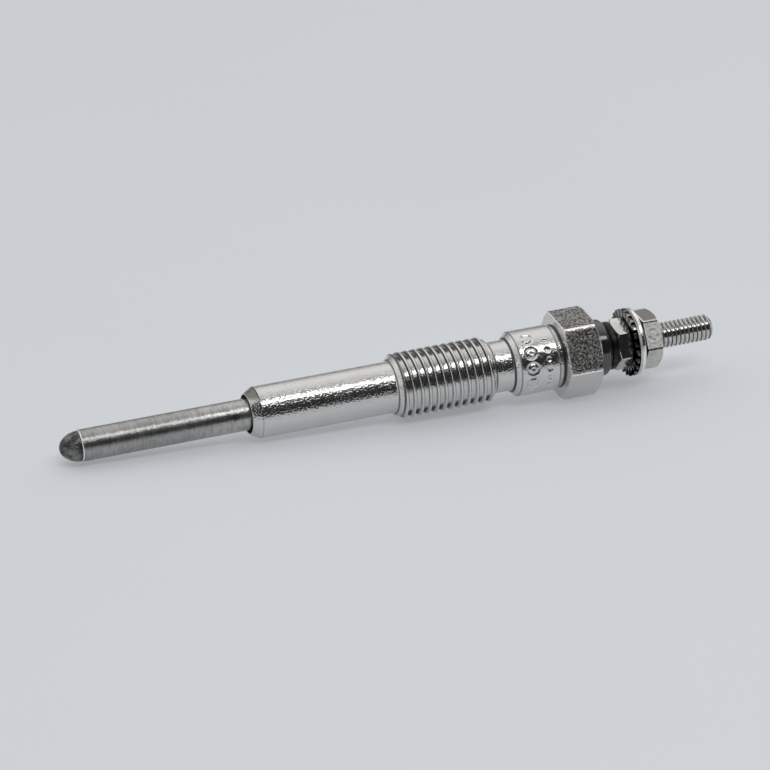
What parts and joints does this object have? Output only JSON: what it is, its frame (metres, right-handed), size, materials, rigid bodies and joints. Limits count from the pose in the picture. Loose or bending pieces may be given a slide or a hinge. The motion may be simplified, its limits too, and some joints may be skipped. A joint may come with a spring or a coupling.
{
  "type": "diesel glow plug",
  "caption": "Slim sheathed glow plug with a domed heater tube, sealing cone, threaded steel body, spanner hexagon and a threaded terminal stud with nuts.",
  "frame": {"origin": "on the axis, at the wide edge of the sealing cone on the nose", "axes": "+X along the plug's axis from the heated tip towards the terminal stud; one flat of the spanner hexagon faces down, -Z"},
  "size_m": [0.1039, 0.0138, 0.012],
  "materials": {
    "housing_plating": "satin plated steel, fine tumbled speckle, stamped marks on the collar",
    "sheath_alloy": "nickel alloy with fine grinding lines, darker at the domed tip",
    "coil_wire": "bare resistance wire",
    "packed_powder": "packed magnesia powder",
    "seal_rubber": "matt rubber",
    "rod_steel": "plated steel with a rolled thread",
    "bush_plastic": "black moulded plastic, slight sheen",
    "spacer_steel": "dark plated steel",
    "lock_nut_plating": "bright plated steel",
    "washer_steel": "hardened spring steel, dull",
    "flange_nut_plating": "bright plated steel with light ring marks on one flat"
  },
  "bodies": {
    "root": {"housing": "housing_plating", "heater_tube": "sheath_alloy", "heating_coil": "coil_wire", "regulating_coil": "coil_wire", "insulating_powder": "packed_powder", "tube_seal": "seal_rubber", "terminal_rod": "rod_steel", "ring_seal": "seal_rubber", "insulating_bush": "bush_plastic", "spacer_washer": "spacer_steel", "lock_nut": "lock_nut_plating", "toothed_washer": "washer_steel", "flange_nut": "flange_nut_plating"}
  },
  "joints": []
}
